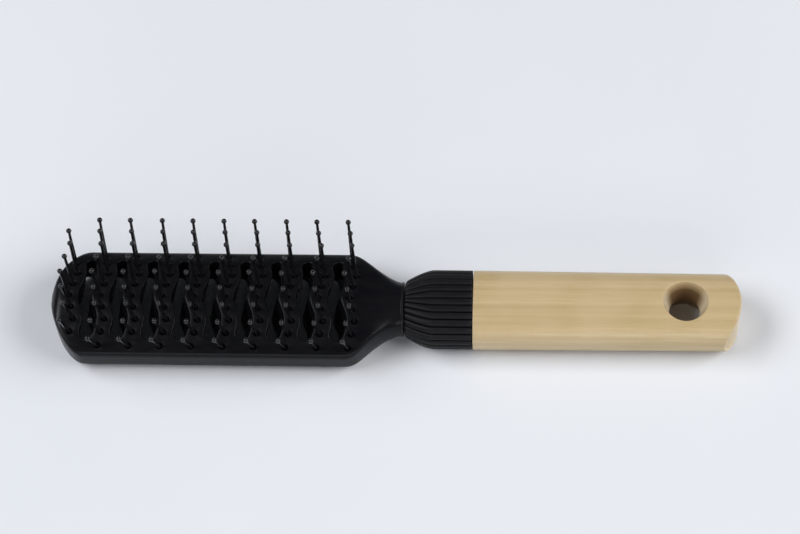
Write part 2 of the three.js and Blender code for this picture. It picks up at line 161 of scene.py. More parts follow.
# ---- Collar and handle sizes ----
COLLAR_FULL = 131.5
COLLAR_FRONT_HALF_WIDTH = 9.9
COLLAR_FRONT_HALF_HEIGHT = 7.8
COLLAR_SWELL_POWER = 1.45
RIB_COUNT = 28
POINTS_PER_RIB = 12
GROOVE_DEPTH = 0.85
GROOVE_ROUNDNESS = 0.35
RIB_NOSE_LENGTH = 0.9
RIB_NOSE_SLANT = 1.7
RIB_NOSE_DROP = 0.95
COLLAR_REAR_ROUND = 0.35
COLLAR_REAR_DROP = 0.25
HANDLE_END_SHARE = 13.6 / 14.1
SQUARENESS = 2.5
HANDLE_END_RADIUS = 20.6
HANDLE_EDGE_ROUND = 0.7
HANDLE_FRONT_ROUND = 0.3
# Behind this station the sections bow backwards, more and more, up to the end's radius.
BOW_START = 207.2
HOLE_STATION = 217.2
HOLE_WAIST_RADIUS = 5.2
HOLE_MOUTH_RADIUS = 7.5
HOLE_EDGE_ROUND = 0.35
HOLE_FLARE = 1.25


# ---- Small helpers ----
def lerp(a, b, share):
    return a + (b - a) * share


def clamp(value):
    return max(0.0, min(1.0, value))


def smoothstep(value, low, high):
    share = clamp((value - low) / (high - low))
    return share * share * (3 - 2 * share)


def stations_between(start, end, steps, packed=False):
    """Even stations, or ones packed closer together near the start."""
    shares = [i / steps for i in range(steps + 1)]
    if packed:
        shares = [1 - math.cos(share * math.pi / 2) for share in shares]
    return [lerp(start, end, share) for share in shares]


def row_station(row):
    high = box_mm("pin_strip_%02d" % (row + 1))[1]
    return high.x - LOW.x - WAVE_HEIGHT - STRIP_HALF_WIDTH


ROWS = [row_station(row) for row in range(ROW_COUNT)]
ROW_PITCH = (ROWS[-1] - ROWS[1]) / (ROW_COUNT - 2)


class Builder:
    """Collects vertices in millimetres and faces, and turns them into a piece."""

    def __init__(self):
        self.points = []
        self.faces = []

    def add(self, points):
        first = len(self.points)
        self.points.extend(tuple(point) for point in points)
        return list(range(first, first + len(points)))

    def bridge(self, ring, following, closed=True):
        count = len(ring)
        for i in range(count if closed else count - 1):
            j = (i + 1) % count
            self.faces.append((ring[i], ring[j], following[j], following[i]))

    def loft(self, rings, closed=True, cap=True):
        """Skins rings of points, in order. The ends are closed with one flat face each."""
        indices = [self.add(ring) for ring in rings]
        for ring, following in zip(indices, indices[1:]):
            self.bridge(ring, following, closed)
        if cap:
            self.faces.append(tuple(reversed(indices[0])))
            self.faces.append(tuple(indices[-1]))
        return indices

    def ladder(self, ring):
        """Fills a ring that is symmetric about a line with rungs from one half to the other."""
        count = len(ring)
        for i in range(count // 2 - 1):
            self.faces.append((ring[i], ring[i + 1], ring[count - 2 - i], ring[count - 1 - i]))

    def mesh(self, name):
        made = bmesh.new()
        corners = [made.verts.new(point) for point in self.points]
        for face in self.faces:
            made.faces.new([corners[i] for i in face])
        bmesh.ops.remove_doubles(made, verts=made.verts, dist=WELD)
        bmesh.ops.dissolve_degenerate(made, edges=made.edges, dist=WELD / 4)
        bmesh.ops.recalc_face_normals(made, faces=made.faces)
        data = bpy.data.meshes.new(name)
        made.to_mesh(data)
        made.free()
        return data

    def object(self, name):
        piece = bpy.data.objects.new(name, self.mesh(name))
        bpy.context.scene.collection.objects.link(piece)
        return piece


def combine(piece, other, operation):
    """Applies a boolean of `other` to `piece` and removes `other`."""
    cut = piece.modifiers.new("cut", "BOOLEAN")
    cut.operation = operation
    cut.solver = "MANIFOLD"
    cut.object = other
    apply_modifiers(piece)
    bpy.data.objects.remove(other)


def apply_modifiers(piece):
    graph = bpy.context.evaluated_depsgraph_get()
    data = bpy.data.meshes.new_from_object(piece.evaluated_get(graph))
    piece.modifiers.clear()
    old = piece.data
    piece.data = data
    bpy.data.meshes.remove(old)


def box_object(low, high):
    made = Builder()
    plan = [(low[0], low[1]), (high[0], low[1]), (high[0], high[1]), (low[0], high[1])]
    made.loft([[(x, y, z) for x, y in plan] for z in (low[2], high[2])])
    return made.object("cutter")


def finish_piece(piece, node, material, sharp_angle=SHARP_ANGLE):
    """Scales a piece to metres, smooths it between sharp edges and ties it to the frame."""
    piece.data.transform(Matrix.Scale(MM, 4))
    piece.data.shade_smooth()
    piece.data.set_sharp_from_angle(angle=math.radians(sharp_angle))
    piece.data.materials.clear()
    piece.data.materials.append(material)
    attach(piece, BODY)
    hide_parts(node)


# ---- The head's outer form ----
def quarter_rise(distance, length, fraction):
    """Rises from a fraction to 1 over a length, like a quarter circle."""
    left = 1 - clamp(distance / length)
    return lerp(fraction, 1, math.sqrt(1 - left * left))


def half_width_at(station):
    """Half the head's width: a blunt tip, parallel sides with a soft corner, and a curved neck."""
    left = 1 - clamp(station / TIP_LENGTH)
    tip = HEAD_HALF_WIDTH * (1 - left**TIP_CURVE) ** TIP_BLUNTNESS
    left = 1 - min((station - NECK_START) / (NECK_END - NECK_START), 1)
    spread = 1 + NECK_CURVE * (left - 1) if left > 1 else left**NECK_CURVE
    curve = lerp(NECK_HALF_WIDTH, HEAD_HALF_WIDTH, spread)
    nearness = max(1 - abs(curve - HEAD_HALF_WIDTH) / NECK_CORNER_SOFTNESS, 0)
    neck = min(curve, HEAD_HALF_WIDTH) - nearness * nearness * NECK_CORNER_SOFTNESS / 4
    return min(tip, neck)


def shaped(station, y, z, half_width):
    """Places a point of the head's section: lower at the tip, and turned into an oval at the neck."""
    to_neck = smoothstep(station, NECK_START, NECK_END)
    height = z - AXIS_Z
    if to_neck > 0:
        angle = math.atan2(height / AXIS_Z, y / half_width)
        y = lerp(y, half_width * math.cos(angle), to_neck)
        height = lerp(height, NECK_HALF_HEIGHT * math.sin(angle), to_neck)
    if height > 0:
        height *= quarter_rise(station, TIP_TOP_SLOPE, TIP_TOP_FRACTION)
    return Vector((station + LOW.x, y, AXIS_Z + height))


def crown_edge(half_width):
    """How far out the crown reaches before the edge fillet, with the fillet's centre and radius."""
    fillet = min(EDGE_FILLET, half_width * 0.6)
    centre_z = CROWN_CENTRE_Z + math.sqrt((CROWN_RADIUS - fillet) ** 2 - (half_width - fillet) ** 2)
    angle = math.atan2(half_width - fillet, centre_z - CROWN_CENTRE_Z)
    return CROWN_RADIUS * math.sin(angle), centre_z, fillet, angle


def crown_point(station, y):
    z = CROWN_CENTRE_Z + math.sqrt(CROWN_RADIUS**2 - y * y)
    return shaped(station, y, z, half_width_at(station))


def flank_depth(station):
    return FLANK_TOP_Z * quarter_rise(station, TIP_BACK_SLOPE, 0)


def back_edge(half_width):
    flat = FLAT_BACK_SHARE * half_width
    return lerp(flat, half_width, math.cos(BACK_SHEET_ANGLE))


def back_point(station, y):
    """A point on the flat back, or on the flank that curves up beside it."""
    half_width = half_width_at(station)
    flat = FLAT_BACK_SHARE * half_width
    z = FLANK_TOP_Z - flank_depth(station)
    if abs(y) > flat:
        out = min((abs(y) - flat) / (half_width - flat), 1)
        z = FLANK_TOP_Z - flank_depth(station) * math.sqrt(1 - out * out)
    return shaped(station, y, z, half_width)


def side_strip(station, side):
    """The section from the crown's edge, down the side wall, to the back sheet's edge."""
    half_width = half_width_at(station)
    edge, centre_z, fillet, start = crown_edge(half_width)
    section = [(edge, CROWN_CENTRE_Z + math.sqrt(CROWN_RADIUS**2 - edge * edge))]
    fillet_steps = 6
    for i in range(1, fillet_steps + 1):
        angle = lerp(start, math.pi / 2, i / fillet_steps)
        y = half_width - fillet + fillet * math.sin(angle)
        section.append((y, centre_z + fillet * math.cos(angle)))
    wall_steps = 5
    for i in range(1, wall_steps + 1):
        section.append((half_width, lerp(centre_z, FLANK_TOP_Z, i / wall_steps)))
    flank_steps = 4
    flat = FLAT_BACK_SHARE * half_width
    for i in range(1, flank_steps):
        angle = BACK_SHEET_ANGLE * i / flank_steps
        y = lerp(flat, half_width, math.cos(angle))
        section.append((y, FLANK_TOP_Z - flank_depth(station) * math.sin(angle)))
    points = [shaped(station, side * y, z, half_width) for y, z in section]
    return points + [back_point(station, side * back_edge(half_width))]


# ---- Vents and pin sockets ----
def wave(y):
    """How far the wavy rows and vents lie towards the handle at a place across the head."""
    return WAVE_HEIGHT / 2 * (1 - math.cos(2 * math.pi * y / WAVE_PERIOD))


def vent_edge(middle, y, side):
    swell = VENT_SWELL * smoothstep(abs(y), 0, VENT_SWELL_Y) if side > 0 else 0
    return middle + wave(y) + side * VENT_HALF_WIDTH + swell


def smooth_loop(points, rounds):
    for _ in range(rounds):
        points = [(points[i - 1] + 2 * p + points[(i + 1) % len(points)]) / 4 for i, p in enumerate(points)]
    return points


def arc(centre, radius, start, end, steps):
    """Points in plan along an arc, from its start angle up to the step before its end angle."""
    x, y = centre
    angles = [lerp(start, end, i / steps) for i in range(steps)]
    return [Vector((x + radius * math.cos(angle), y + radius * math.sin(angle))) for angle in angles]


def vent_loop(middle):
    """The vent's outline in plan as (station, y), anticlockwise from the middle of its far end."""
    end_radius = VENT_HALF_WIDTH + VENT_SWELL / 2
    straight = VENT_REACH - end_radius
    edge_steps, end_steps, smoothing = 48, 7, 6
    end_middle = (vent_edge(middle, straight, 1) + vent_edge(middle, straight, -1)) / 2
    far, near = (end_middle, straight), (end_middle, -straight)
    heights = [lerp(-straight, straight, i / edge_steps) for i in range(edge_steps + 1)]
    points = arc(far, end_radius, math.pi / 2, math.pi, end_steps)
    points += [Vector((vent_edge(middle, y, -1), y)) for y in reversed(heights)]
    points += arc(near, end_radius, math.pi, 2 * math.pi, 2 * end_steps)[1:]
    points += [Vector((vent_edge(middle, y, 1), y)) for y in heights]
    points += arc(far, end_radius, 0, math.pi / 2, end_steps)[1:]
    return smooth_loop(points, smoothing)


def outward(points):
    """The outward direction in plan at each point of an anticlockwise outline."""
    turned = []
    for i in range(len(points)):
        along = points[(i + 1) % len(points)] - points[i - 1]
        turned.append(Vector((along.y, -along.x)).normalized())
    return turned


def rim_rings(middle, surface, into, flank=0):
    """The rings of a vent's rolled rim, from the surface inwards. `into` is -1 or 1 in Z. On the handle's
    side the rim is wider, and a flank of 1 makes its far part a broad slope that reaches into the vent."""
    base = vent_loop(middle)
    outs = outward(base)
    flanks = [flank * clamp(out.x) ** 2 * smoothstep(p.y, *VENT_FLANK_Y) for p, out in zip(base, outs)]
    rim_steps = 6
    rings = []
    for i in range(rim_steps + 1):
        angle = math.pi / 2 * i / rim_steps
        outline, ring = [], []
        for point, out, reach in zip(base, outs, flanks):
            rim = lerp(VENT_RIM, VENT_HANDLE_RIM, clamp(out.x) * smoothstep(point.y, *VENT_RIM_Y))
            outline.append(point + out * lerp(rim, -VENT_FLANK * reach, math.sin(angle)))
            sink = lerp(VENT_RIM_DEPTH, VENT_FLANK_DEPTH, reach) * (1 - math.cos(angle))
            ring.append(surface(outline[-1].x, outline[-1].y) + Vector((0, 0, into * sink)))
        rings.append((outline, ring))
    return rings


def add_vent(made, front, back):
    """Joins a vent's front and back rims with a wall through the head, which leans towards the tip."""
    wall_steps = 6
    mouth, foot = front[-1][1], back[-1][1]
    wall = [[a.lerp(b, i / wall_steps) for a, b in zip(mouth, foot)] for i in range(1, wall_steps)]
    rings = [ring for _, ring in front] + wall + [ring for _, ring in reversed(back)]
    made.loft(rings, cap=False)


def pins_of_row(row, wander):
    """The base and direction of each pin in a row. The first row has no room for the outermost two."""
    half = (PINS_PER_ROW - 1) // 2
    reach = half - 1 if row == 0 else half
    pins = []
    for i in range(-reach, reach + 1):
        across = i / half
        y = OUTER_PIN_Y * across
        fan = PIN_FAN * across + wander.uniform(-1, 1) * PIN_WANDER * (1 - abs(across))
        lean = PIN_LEAN + wander.uniform(-1, 1) * PIN_WANDER
        base = crown_point(ROWS[row] + wave(y), y)
        pins.append((base, Vector((-math.tan(lean), math.sin(fan), math.cos(fan))).normalized()))
    return pins


def socket_rings(base, direction):
    """A round socket with a rolled rim, in the crown under a pin."""
    station, y = base.x - LOW.x, base.y
    squeeze = math.sqrt(1 - (y / CROWN_RADIUS) ** 2)
    sides, rim_steps = 18, 3

    def outline(radius):
        angles = [2 * math.pi * i / sides for i in range(sides)]
        steps = [(radius * math.cos(a), radius * squeeze * math.sin(a)) for a in angles]
        return [Vector((station + along, y + across)) for along, across in steps]

    rings = []
    for i in range(rim_steps + 1):
        angle = math.pi / 2 * i / rim_steps
        plan = outline(SOCKET_RADIUS + SOCKET_RIM * (1 - math.sin(angle)))
        sink = SOCKET_RIM * (1 - math.cos(angle))
        rings.append((plan, [crown_point(p.x, p.y) - direction * sink for p in plan]))
    plan = outline(SOCKET_RADIUS)
    rings.append((plan, [crown_point(p.x, p.y) - direction * SOCKET_DEPTH for p in plan]))
    return rings


# ---- Sheets with holes ----
def inside(point, polygon):
    """True for a point in a polygon: a ray from it crosses an odd number of edges."""
    hit = False
    for i, a in enumerate(polygon):
        b = polygon[i - 1]
        if (a.y > point.y) != (b.y > point.y):
            crossing = a.x + (b.x - a.x) * (point.y - a.y) / (b.y - a.y)
            hit = hit != (point.x < crossing)
    return hit


class Holes:
    """Finds out whether a plan point lies in one of several outlines."""

    def __init__(self, outlines):
        self.outlines = []
        for outline in outlines:
            xs, ys = [p.x for p in outline], [p.y for p in outline]
            self.outlines.append((min(xs), max(xs), min(ys), max(ys), outline))

    def contain(self, point):
        for x0, x1, y0, y1, outline in self.outlines:
            if x0 < point.x < x1 and y0 < point.y < y1 and inside(point, outline):
                return True
        return False


def add_sheet(made, stations, edge_at, end_count, outlines, surface):
    """Triangulates the plan area between the edges, round the outlines, and lifts it onto the surface."""
    holes = Holes(outlines)
    loops = [sheet_border(stations, edge_at, end_count), *outlines]
    points = [point for loop in loops for point in loop]
    tree = kdtree.KDTree(len(points))
    for i, point in enumerate(points):
        tree.insert((point.x, point.y, 0), i)
    tree.balance()
    edges, first = [], 0
    for loop in loops:
        edges += [(first + i, first + (i + 1) % len(loop)) for i in range(len(loop))]
        first += len(loop)
    for point in sheet_rows(stations, edge_at):
        if tree.find((point.x, point.y, 0))[2] > SHEET_CLEARANCE and not holes.contain(point):
            points.append(point)
    found, _, faces, *_ = delaunay_2d_cdt(points, edges, [], 1, SHEET_TOLERANCE, False)
    index = made.add([surface(p.x, p.y) for p in found])
    for face in faces:
        a, b, c = (found[i] for i in face)
        centre = (a + b + c) / 3
        sliver = abs((b - a).cross(c - a)) < SLIVER_AREA
        if not sliver and abs(centre.y) < edge_at(centre.x) and not holes.contain(centre):
            made.faces.append(tuple(index[i] for i in face))


def across_points(station, edge, count=None):
    """Points from -edge to +edge, about one sheet step apart."""
    count = count or max(2, 2 * math.ceil(edge / SHEET_STEP))
    return [Vector((station, lerp(-edge, edge, i / count))) for i in range(count + 1)]


def sheet_rows(stations, edge_at):
    points = []
    for station in stations[1:-1]:
        points += across_points(station, edge_at(station))[1:-1]
    return points


def sheet_border(stations, edge_at, end_count):
    """The outline of a sheet that starts in a point or a line at the first station."""
    near = [Vector((s, -edge_at(s))) for s in stations[1:-1]]
    end = across_points(stations[-1], edge_at(stations[-1]), end_count)
    far = [Vector((s, edge_at(s))) for s in reversed(stations[1:-1])]
    start = edge_at(stations[0])
    if start < SHEET_TOLERANCE:
        return [Vector((stations[0], 0)), *near, *end, *far]
    return [*near, *end, *far, *reversed(across_points(stations[0], start, end_count))]


# ---- The head's shells ----
HEAD_STATIONS = (
    stations_between(0, TIP_LENGTH, 18, packed=True)
    + stations_between(TIP_LENGTH, NECK_START - 6, 44)[1:]
    + stations_between(NECK_START - 6, NECK_END - SHOULDER_WIDTH, 26)[1:]
)
END_COUNT = 16


def head_body(pins):
    """The closed body of the head and neck, with the vents through it and a socket for each pin."""
    made = Builder()
    gaps = range(ROW_COUNT - 1)
    fronts = [rim_rings(ROWS[g] + ROW_PITCH / 2, crown_point, -1, flank=1) for g in gaps]
    backs = [rim_rings(ROWS[g] + ROW_PITCH / 2 - BACK_VENT_OFFSET, back_point, 1) for g in gaps]
    sockets = [socket_rings(base, direction) for row in pins for base, direction in row]
    crown_at = lambda s: crown_edge(half_width_at(s))[0] if s > 0 else 0
    back_at = lambda s: back_edge(half_width_at(s)) if s > 0 else 0
    crown_holes = [rings[0][0] for rings in fronts + sockets]
    back_holes = [rings[0][0] for rings in backs]
    add_sheet(made, HEAD_STATIONS, crown_at, END_COUNT, crown_holes, crown_point)
    add_sheet(made, HEAD_STATIONS, back_at, END_COUNT, back_holes, back_point)
    for side in (-1, 1):
        made.loft([side_strip(s, side) for s in HEAD_STATIONS], closed=False, cap=False)
    for front, back in zip(fronts, backs):
        add_vent(made, front, back)
    for rings in sockets:
        made.faces.append(tuple(made.loft([ring for _, ring in rings], cap=False)[-1]))
    add_shoulder(made, crown_at, back_at)
    return made.object("front_shell_body")


def end_ring(station, crown_at, back_at):
    """The head's whole section at a station, made of the same points as the sheets and strips there."""
    top = [crown_point(p.x, p.y) for p in across_points(station, crown_at(station), END_COUNT)]
    bottom = [back_point(p.x, p.y) for p in across_points(station, back_at(station), END_COUNT)]
    left, right = side_strip(station, -1), side_strip(station, 1)
    return top[:-1] + right[:-1] + bottom[::-1][:-1] + left[::-1][:-1]


def add_shoulder(made, crown_at, back_at):
    """The raised ring at the end of the neck, which the collar butts against."""
    start = HEAD_STATIONS[-1]
    ring = end_ring(start, crown_at, back_at)
    rings = []
    for shift, share in SHOULDER_PROFILE:
        size = 1 + share * SHOULDER_STAND_OFF / NECK_HALF_HEIGHT
        rings.append([(p.x + shift, p.y * size, AXIS_Z + (p.z - AXIS_Z) * size) for p in ring])
    indices = made.loft(rings, cap=False)
    made.faces.append(tuple(indices[-1]))


def oval_rod(start, end, half_width, half_height):
    made = Builder()
    sides = 48
    angles = [2 * math.pi * i / sides for i in range(sides)]
    section = [(half_width * math.cos(a), AXIS_Z + half_height * math.sin(a)) for a in angles]
    made.loft([[(s + LOW.x, y, z) for y, z in section] for s in (start, end)])
    return made.object("cutter")


def tang_room(start, end):
    """The space that the tang and its clearance take up between two stations."""
    return oval_rod(start, end, TANG_HALF_WIDTH + TANG_CLEARANCE, TANG_HALF_HEIGHT + TANG_CLEARANCE)


def copy_of(piece, name):
    other = bpy.data.objects.new(name, piece.data.copy())
    bpy.context.scene.collection.objects.link(other)
    return other


def parting_box(grow):
    low = (LOW.x - 5, -LENGTH, -5)
    high = (LOW.x + BACK_SHELL_END + grow, LENGTH, PARTING_Z + grow)
    return box_object(low, high)


def make_shells(pins, material):
    front = head_body(pins)
    back = copy_of(front, "back_shell_skin")
    combine(back, parting_box(-PARTING_GAP / 2), "INTERSECT")
    combine(front, parting_box(PARTING_GAP / 2), "DIFFERENCE")
    combine(front, oval_rod(NECK_END - 1, TANG_END, TANG_HALF_WIDTH, TANG_HALF_HEIGHT), "UNION")
    front.name = "front_shell_skin"
    finish_piece(front, "front_shell", material, SHELL_SHARP_ANGLE)
    finish_piece(back, "back_shell", material, SHELL_SHARP_ANGLE)


# ---- Pins ----
def pin_profile():
    """Radius and height along a pin: a root in the socket, a tapering rod and a ball."""
    profile = list(PIN_ROOT)
    rod_steps, ball_steps = 6, 9
    rod_radius, rod_start = PIN_ROOT[-1]
    reach = math.asin(PIN_THROAT_RADIUS / PIN_BALL_RADIUS)
    throat = PIN_LENGTH - PIN_BALL_RADIUS * math.cos(reach)
    for i in range(1, rod_steps + 1):
        share = i / rod_steps
        radius = lerp(rod_radius, PIN_THROAT_RADIUS, share**PIN_TAPER)
        profile.append((radius, lerp(rod_start, throat, share)))
    for i in range(1, ball_steps):
        angle = lerp(reach, math.pi, i / ball_steps)
        profile.append((PIN_BALL_RADIUS * math.sin(angle), PIN_LENGTH - PIN_BALL_RADIUS * math.cos(angle)))
    return profile


def add_pin(made, base, direction):
    turn = Vector((0, 0, 1)).rotation_difference(direction)
    angles = [2 * math.pi * i / PIN_SIDES for i in range(PIN_SIDES)]
    rings = []
    for radius, height in pin_profile():
        ring = [Vector((radius * math.cos(angle), radius * math.sin(angle), height)) for angle in angles]
        rings.append([base + turn @ point for point in ring])
    made.loft(rings)


def make_pin_strips(pins, material):
    for row, row_pins in enumerate(pins):
        made = Builder()
        for base, direction in row_pins:
            add_pin(made, base, direction)
        strip = made.object("pin_row_%02d" % (row + 1))
        finish_piece(strip, "pin_strip_%02d" % (row + 1), material)


# ---- Collar ----
def oval(angle, half_width, half_height, squareness):
    """A point on a squared-off ellipse, and the outward normal there."""
    across, up = math.cos(angle), math.sin(angle)
    y = math.copysign(abs(across) ** (2 / squareness), across)
    z = math.copysign(abs(up) ** (2 / squareness), up)
    normal = Vector((
        math.copysign(abs(y) ** (squareness - 1), y) / half_width,
        math.copysign(abs(z) ** (squareness - 1), z) / half_height,
    )).normalized()
    return Vector((y * half_width, z * half_height)), normal


def even_angles(count):
    """Angles that split the handle's outline into pieces of equal length."""
    samples = 2880
    turns = [2 * math.pi * i / samples for i in range(samples + 1)]
    outline = [oval(turn, HANDLE_HALF_WIDTH, HANDLE_HALF_HEIGHT, SQUARENESS)[0] for turn in turns]
    travelled = [0.0]
    for a, b in zip(outline, outline[1:]):
        travelled.append(travelled[-1] + (b - a).length)
    angles, after = [], 1
    for k in range(count):
        target = travelled[-1] * k / count
        while travelled[after] <= target:
            after += 1
        share = (target - travelled[after - 1]) / (travelled[after] - travelled[after - 1])
        angles.append(2 * math.pi * (after - 1 + share) / samples)
    return angles


def rounded(left):
    """How far a quarter-round edge has fallen, from 0 at its start to 1 when nothing of it is left."""
    return 1 - math.sqrt(1 - left * left)


def collar_ring(angles, station):
    """One ring of ribs. At the front each rib ends in a rounded nose, longest on its crest."""
    swell = 1 - clamp((COLLAR_FULL - station) / (COLLAR_FULL - COLLAR_START)) ** COLLAR_SWELL_POWER
    half_width = lerp(COLLAR_FRONT_HALF_WIDTH, HANDLE_HALF_WIDTH, swell)
    half_height = lerp(COLLAR_FRONT_HALF_HEIGHT, HANDLE_HALF_HEIGHT, swell)
    squareness = lerp(2, SQUARENESS, swell)
    ring = []
    for i, angle in enumerate(angles):
        off_crest = abs(2 * (i % POINTS_PER_RIB) / POINTS_PER_RIB - 1)
        groove = lerp(off_crest**5, off_crest**2, GROOVE_ROUNDNESS)
        nose = clamp(1 - (station - COLLAR_START) / (RIB_NOSE_LENGTH + RIB_NOSE_SLANT * off_crest**3))
        rear = clamp(1 - (COLLAR_END - station) / COLLAR_REAR_ROUND)
        sink = GROOVE_DEPTH * groove + RIB_NOSE_DROP * rounded(nose) + COLLAR_REAR_DROP * rounded(rear)
        point, normal = oval(angle, half_width, half_height, squareness)
        point = point - normal * sink
        ring.append((station + LOW.x, point.x, AXIS_Z + point.y))
    return ring


def make_collar(material):
    angles = even_angles(RIB_COUNT * POINTS_PER_RIB)
    noses_end, swell_end, rear_start = COLLAR_START + 3, COLLAR_FULL + 1, COLLAR_END - COLLAR_REAR_ROUND
    rear_steps = 4
    front = stations_between(COLLAR_START, noses_end, 14, packed=True)
    swell = stations_between(noses_end, swell_end, 14)[1:]
    full = stations_between(swell_end, rear_start, 8)[1:]
    shares = [math.sin(math.pi / 2 * i / rear_steps) for i in range(1, rear_steps + 1)]
    rear = [rear_start + COLLAR_REAR_ROUND * share for share in shares]
    made = Builder()
    made.loft([collar_ring(angles, s) for s in front + swell + full + rear])
    collar = made.object("grip_collar_ribbed")
    combine(collar, tang_room(COLLAR_START - 1, COLLAR_END + 1), "DIFFERENCE")
    finish_piece(collar, "grip_collar", material)


# ---- Handle ----
HANDLE_END = LENGTH - HANDLE_EDGE_ROUND
HANDLE_STATIONS = (
    stations_between(HANDLE_START + HANDLE_FRONT_ROUND, BOW_START, 40)
    + stations_between(BOW_START, HANDLE_END, 24)[1:]
)
TOP_ANGLE = math.radians(42)
TOP_SHARE = math.cos(TOP_ANGLE) ** (2 / SQUARENESS)
HANDLE_END_COUNT = 18


def handle_half_width(station):
    share = (station - HANDLE_START) / (LENGTH - HANDLE_START)
    return HANDLE_HALF_WIDTH * lerp(1, HANDLE_END_SHARE, share)


def bow(station):
    return clamp((station - BOW_START) / (HANDLE_END - BOW_START))


def fall_back(y):
    return HANDLE_END_RADIUS - math.sqrt(HANDLE_END_RADIUS**2 - y * y)


def handle_point(station, y, side):
    """A point on the handle's top (side 1) or bottom (side -1), which is bowed in plan near the end."""
    out = min(abs(y) / handle_half_width(station), 1)
    height = HANDLE_HALF_HEIGHT * (1 - out**SQUARENESS) ** (1 / SQUARENESS)
    return Vector((station - bow(station) * fall_back(y) + LOW.x, y, AXIS_Z + side * height))


def handle_side(station, side):
    steps = 24
    half_width = handle_half_width(station)
    points = []
    for i in range(steps + 1):
        angle = lerp(TOP_ANGLE, -TOP_ANGLE, i / steps)
        point, _ = oval(angle, half_width, HANDLE_HALF_HEIGHT, SQUARENESS)
        x = station - bow(station) * fall_back(point.x) + LOW.x
        points.append(Vector((x, side * point.x, AXIS_Z + point.y)))
    return points


def unbowed(x, y):
    """The nominal station whose bowed place is x."""
    station, rounds = x, 12
    for _ in range(rounds):
        station = x + bow(station) * fall_back(y)
    return station


def hole_rings(side):
    """The hanging hole's edge and its wall as far as the waist, from the top (side 1) or bottom (-1)."""
    sides, edge_steps, wall_steps = 72, 4, 8
    mouth = HOLE_MOUTH_RADIUS + HOLE_EDGE_ROUND
    profile = []
    for i in range(edge_steps + 1):
        angle = math.pi / 2 * i / edge_steps
        radius = mouth - HOLE_EDGE_ROUND * math.sin(angle)
        profile.append((radius, HOLE_EDGE_ROUND * (1 - math.cos(angle)), 1))
    for i in range(1, wall_steps + 1):
        left = 1 - i / wall_steps
        radius = lerp(HOLE_WAIST_RADIUS, HOLE_MOUTH_RADIUS, left**HOLE_FLARE)
        profile.append((radius, HOLE_EDGE_ROUND, left))
    rings = []
    for radius, sink, left in profile:
        plan, ring = [], []
        for k in range(sides):
            turn = 2 * math.pi * k / sides
            x, y = HOLE_STATION + radius * math.cos(turn), radius * math.sin(turn)
            plan.append(Vector((unbowed(x, y), y)))
            face = handle_point(plan[-1].x, y, 1)
            height = (face.z - AXIS_Z - sink) * left
            ring.append(Vector((face.x, y, AXIS_Z + side * height)))
        rings.append((plan, ring))
    return rings


def handle_ring(station):
    edge = TOP_SHARE * handle_half_width(station)
    across = across_points(station, edge, HANDLE_END_COUNT)
    top = [handle_point(p.x, p.y, 1) for p in across]
    bottom = [handle_point(p.x, p.y, -1) for p in across]
    left, right = handle_side(station, -1), handle_side(station, 1)
    ring = top[:-1] + right[:-1] + bottom[::-1][:-1] + left[::-1][:-1]
    first = HANDLE_END_COUNT + (len(right) - 1) // 2
    return ring[first:] + ring[:first]


def round_off(ring, radius, towards):
    """Rings that round a body's end over from its last ring."""
    steps = 6
    rings = []
    for i in range(1, steps + 1):
        angle = math.pi / 2 * i / steps
        size = 1 - radius * (1 - math.cos(angle)) / HANDLE_HALF_HEIGHT
        shift = towards * radius * math.sin(angle)
        rings.append([(p.x + shift, p.y * size, AXIS_Z + (p.z - AXIS_Z) * size) for p in ring])
    return rings


def make_handle(material):
    made = Builder()
    edge_at = lambda s: TOP_SHARE * handle_half_width(s)
    holes = {side: hole_rings(side) for side in (1, -1)}
    for side in (1, -1):
        surface = lambda s, y, side=side: handle_point(s, y, side)
        add_sheet(made, HANDLE_STATIONS, edge_at, HANDLE_END_COUNT, [holes[side][0][0]], surface)
        indices = [made.add(ring) for _, ring in holes[side]]
        for ring, following in zip(indices, indices[1:]):
            made.bridge(ring, following)
    for side in (1, -1):
        made.loft([handle_side(s, side) for s in HANDLE_STATIONS], closed=False, cap=False)
    front, end = handle_ring(HANDLE_STATIONS[0]), handle_ring(HANDLE_STATIONS[-1])
    made.faces.append(tuple(made.loft([front, *round_off(front, HANDLE_FRONT_ROUND, -1)], cap=False)[-1]))
    made.ladder(made.loft([end, *round_off(end, HANDLE_EDGE_ROUND, 1)], cap=False)[-1])
    handle = made.object("wood_handle_turned")
    combine(handle, tang_room(HANDLE_START - 1, TANG_END + 0.5), "DIFFERENCE")
    finish_piece(handle, "wood_handle", material)


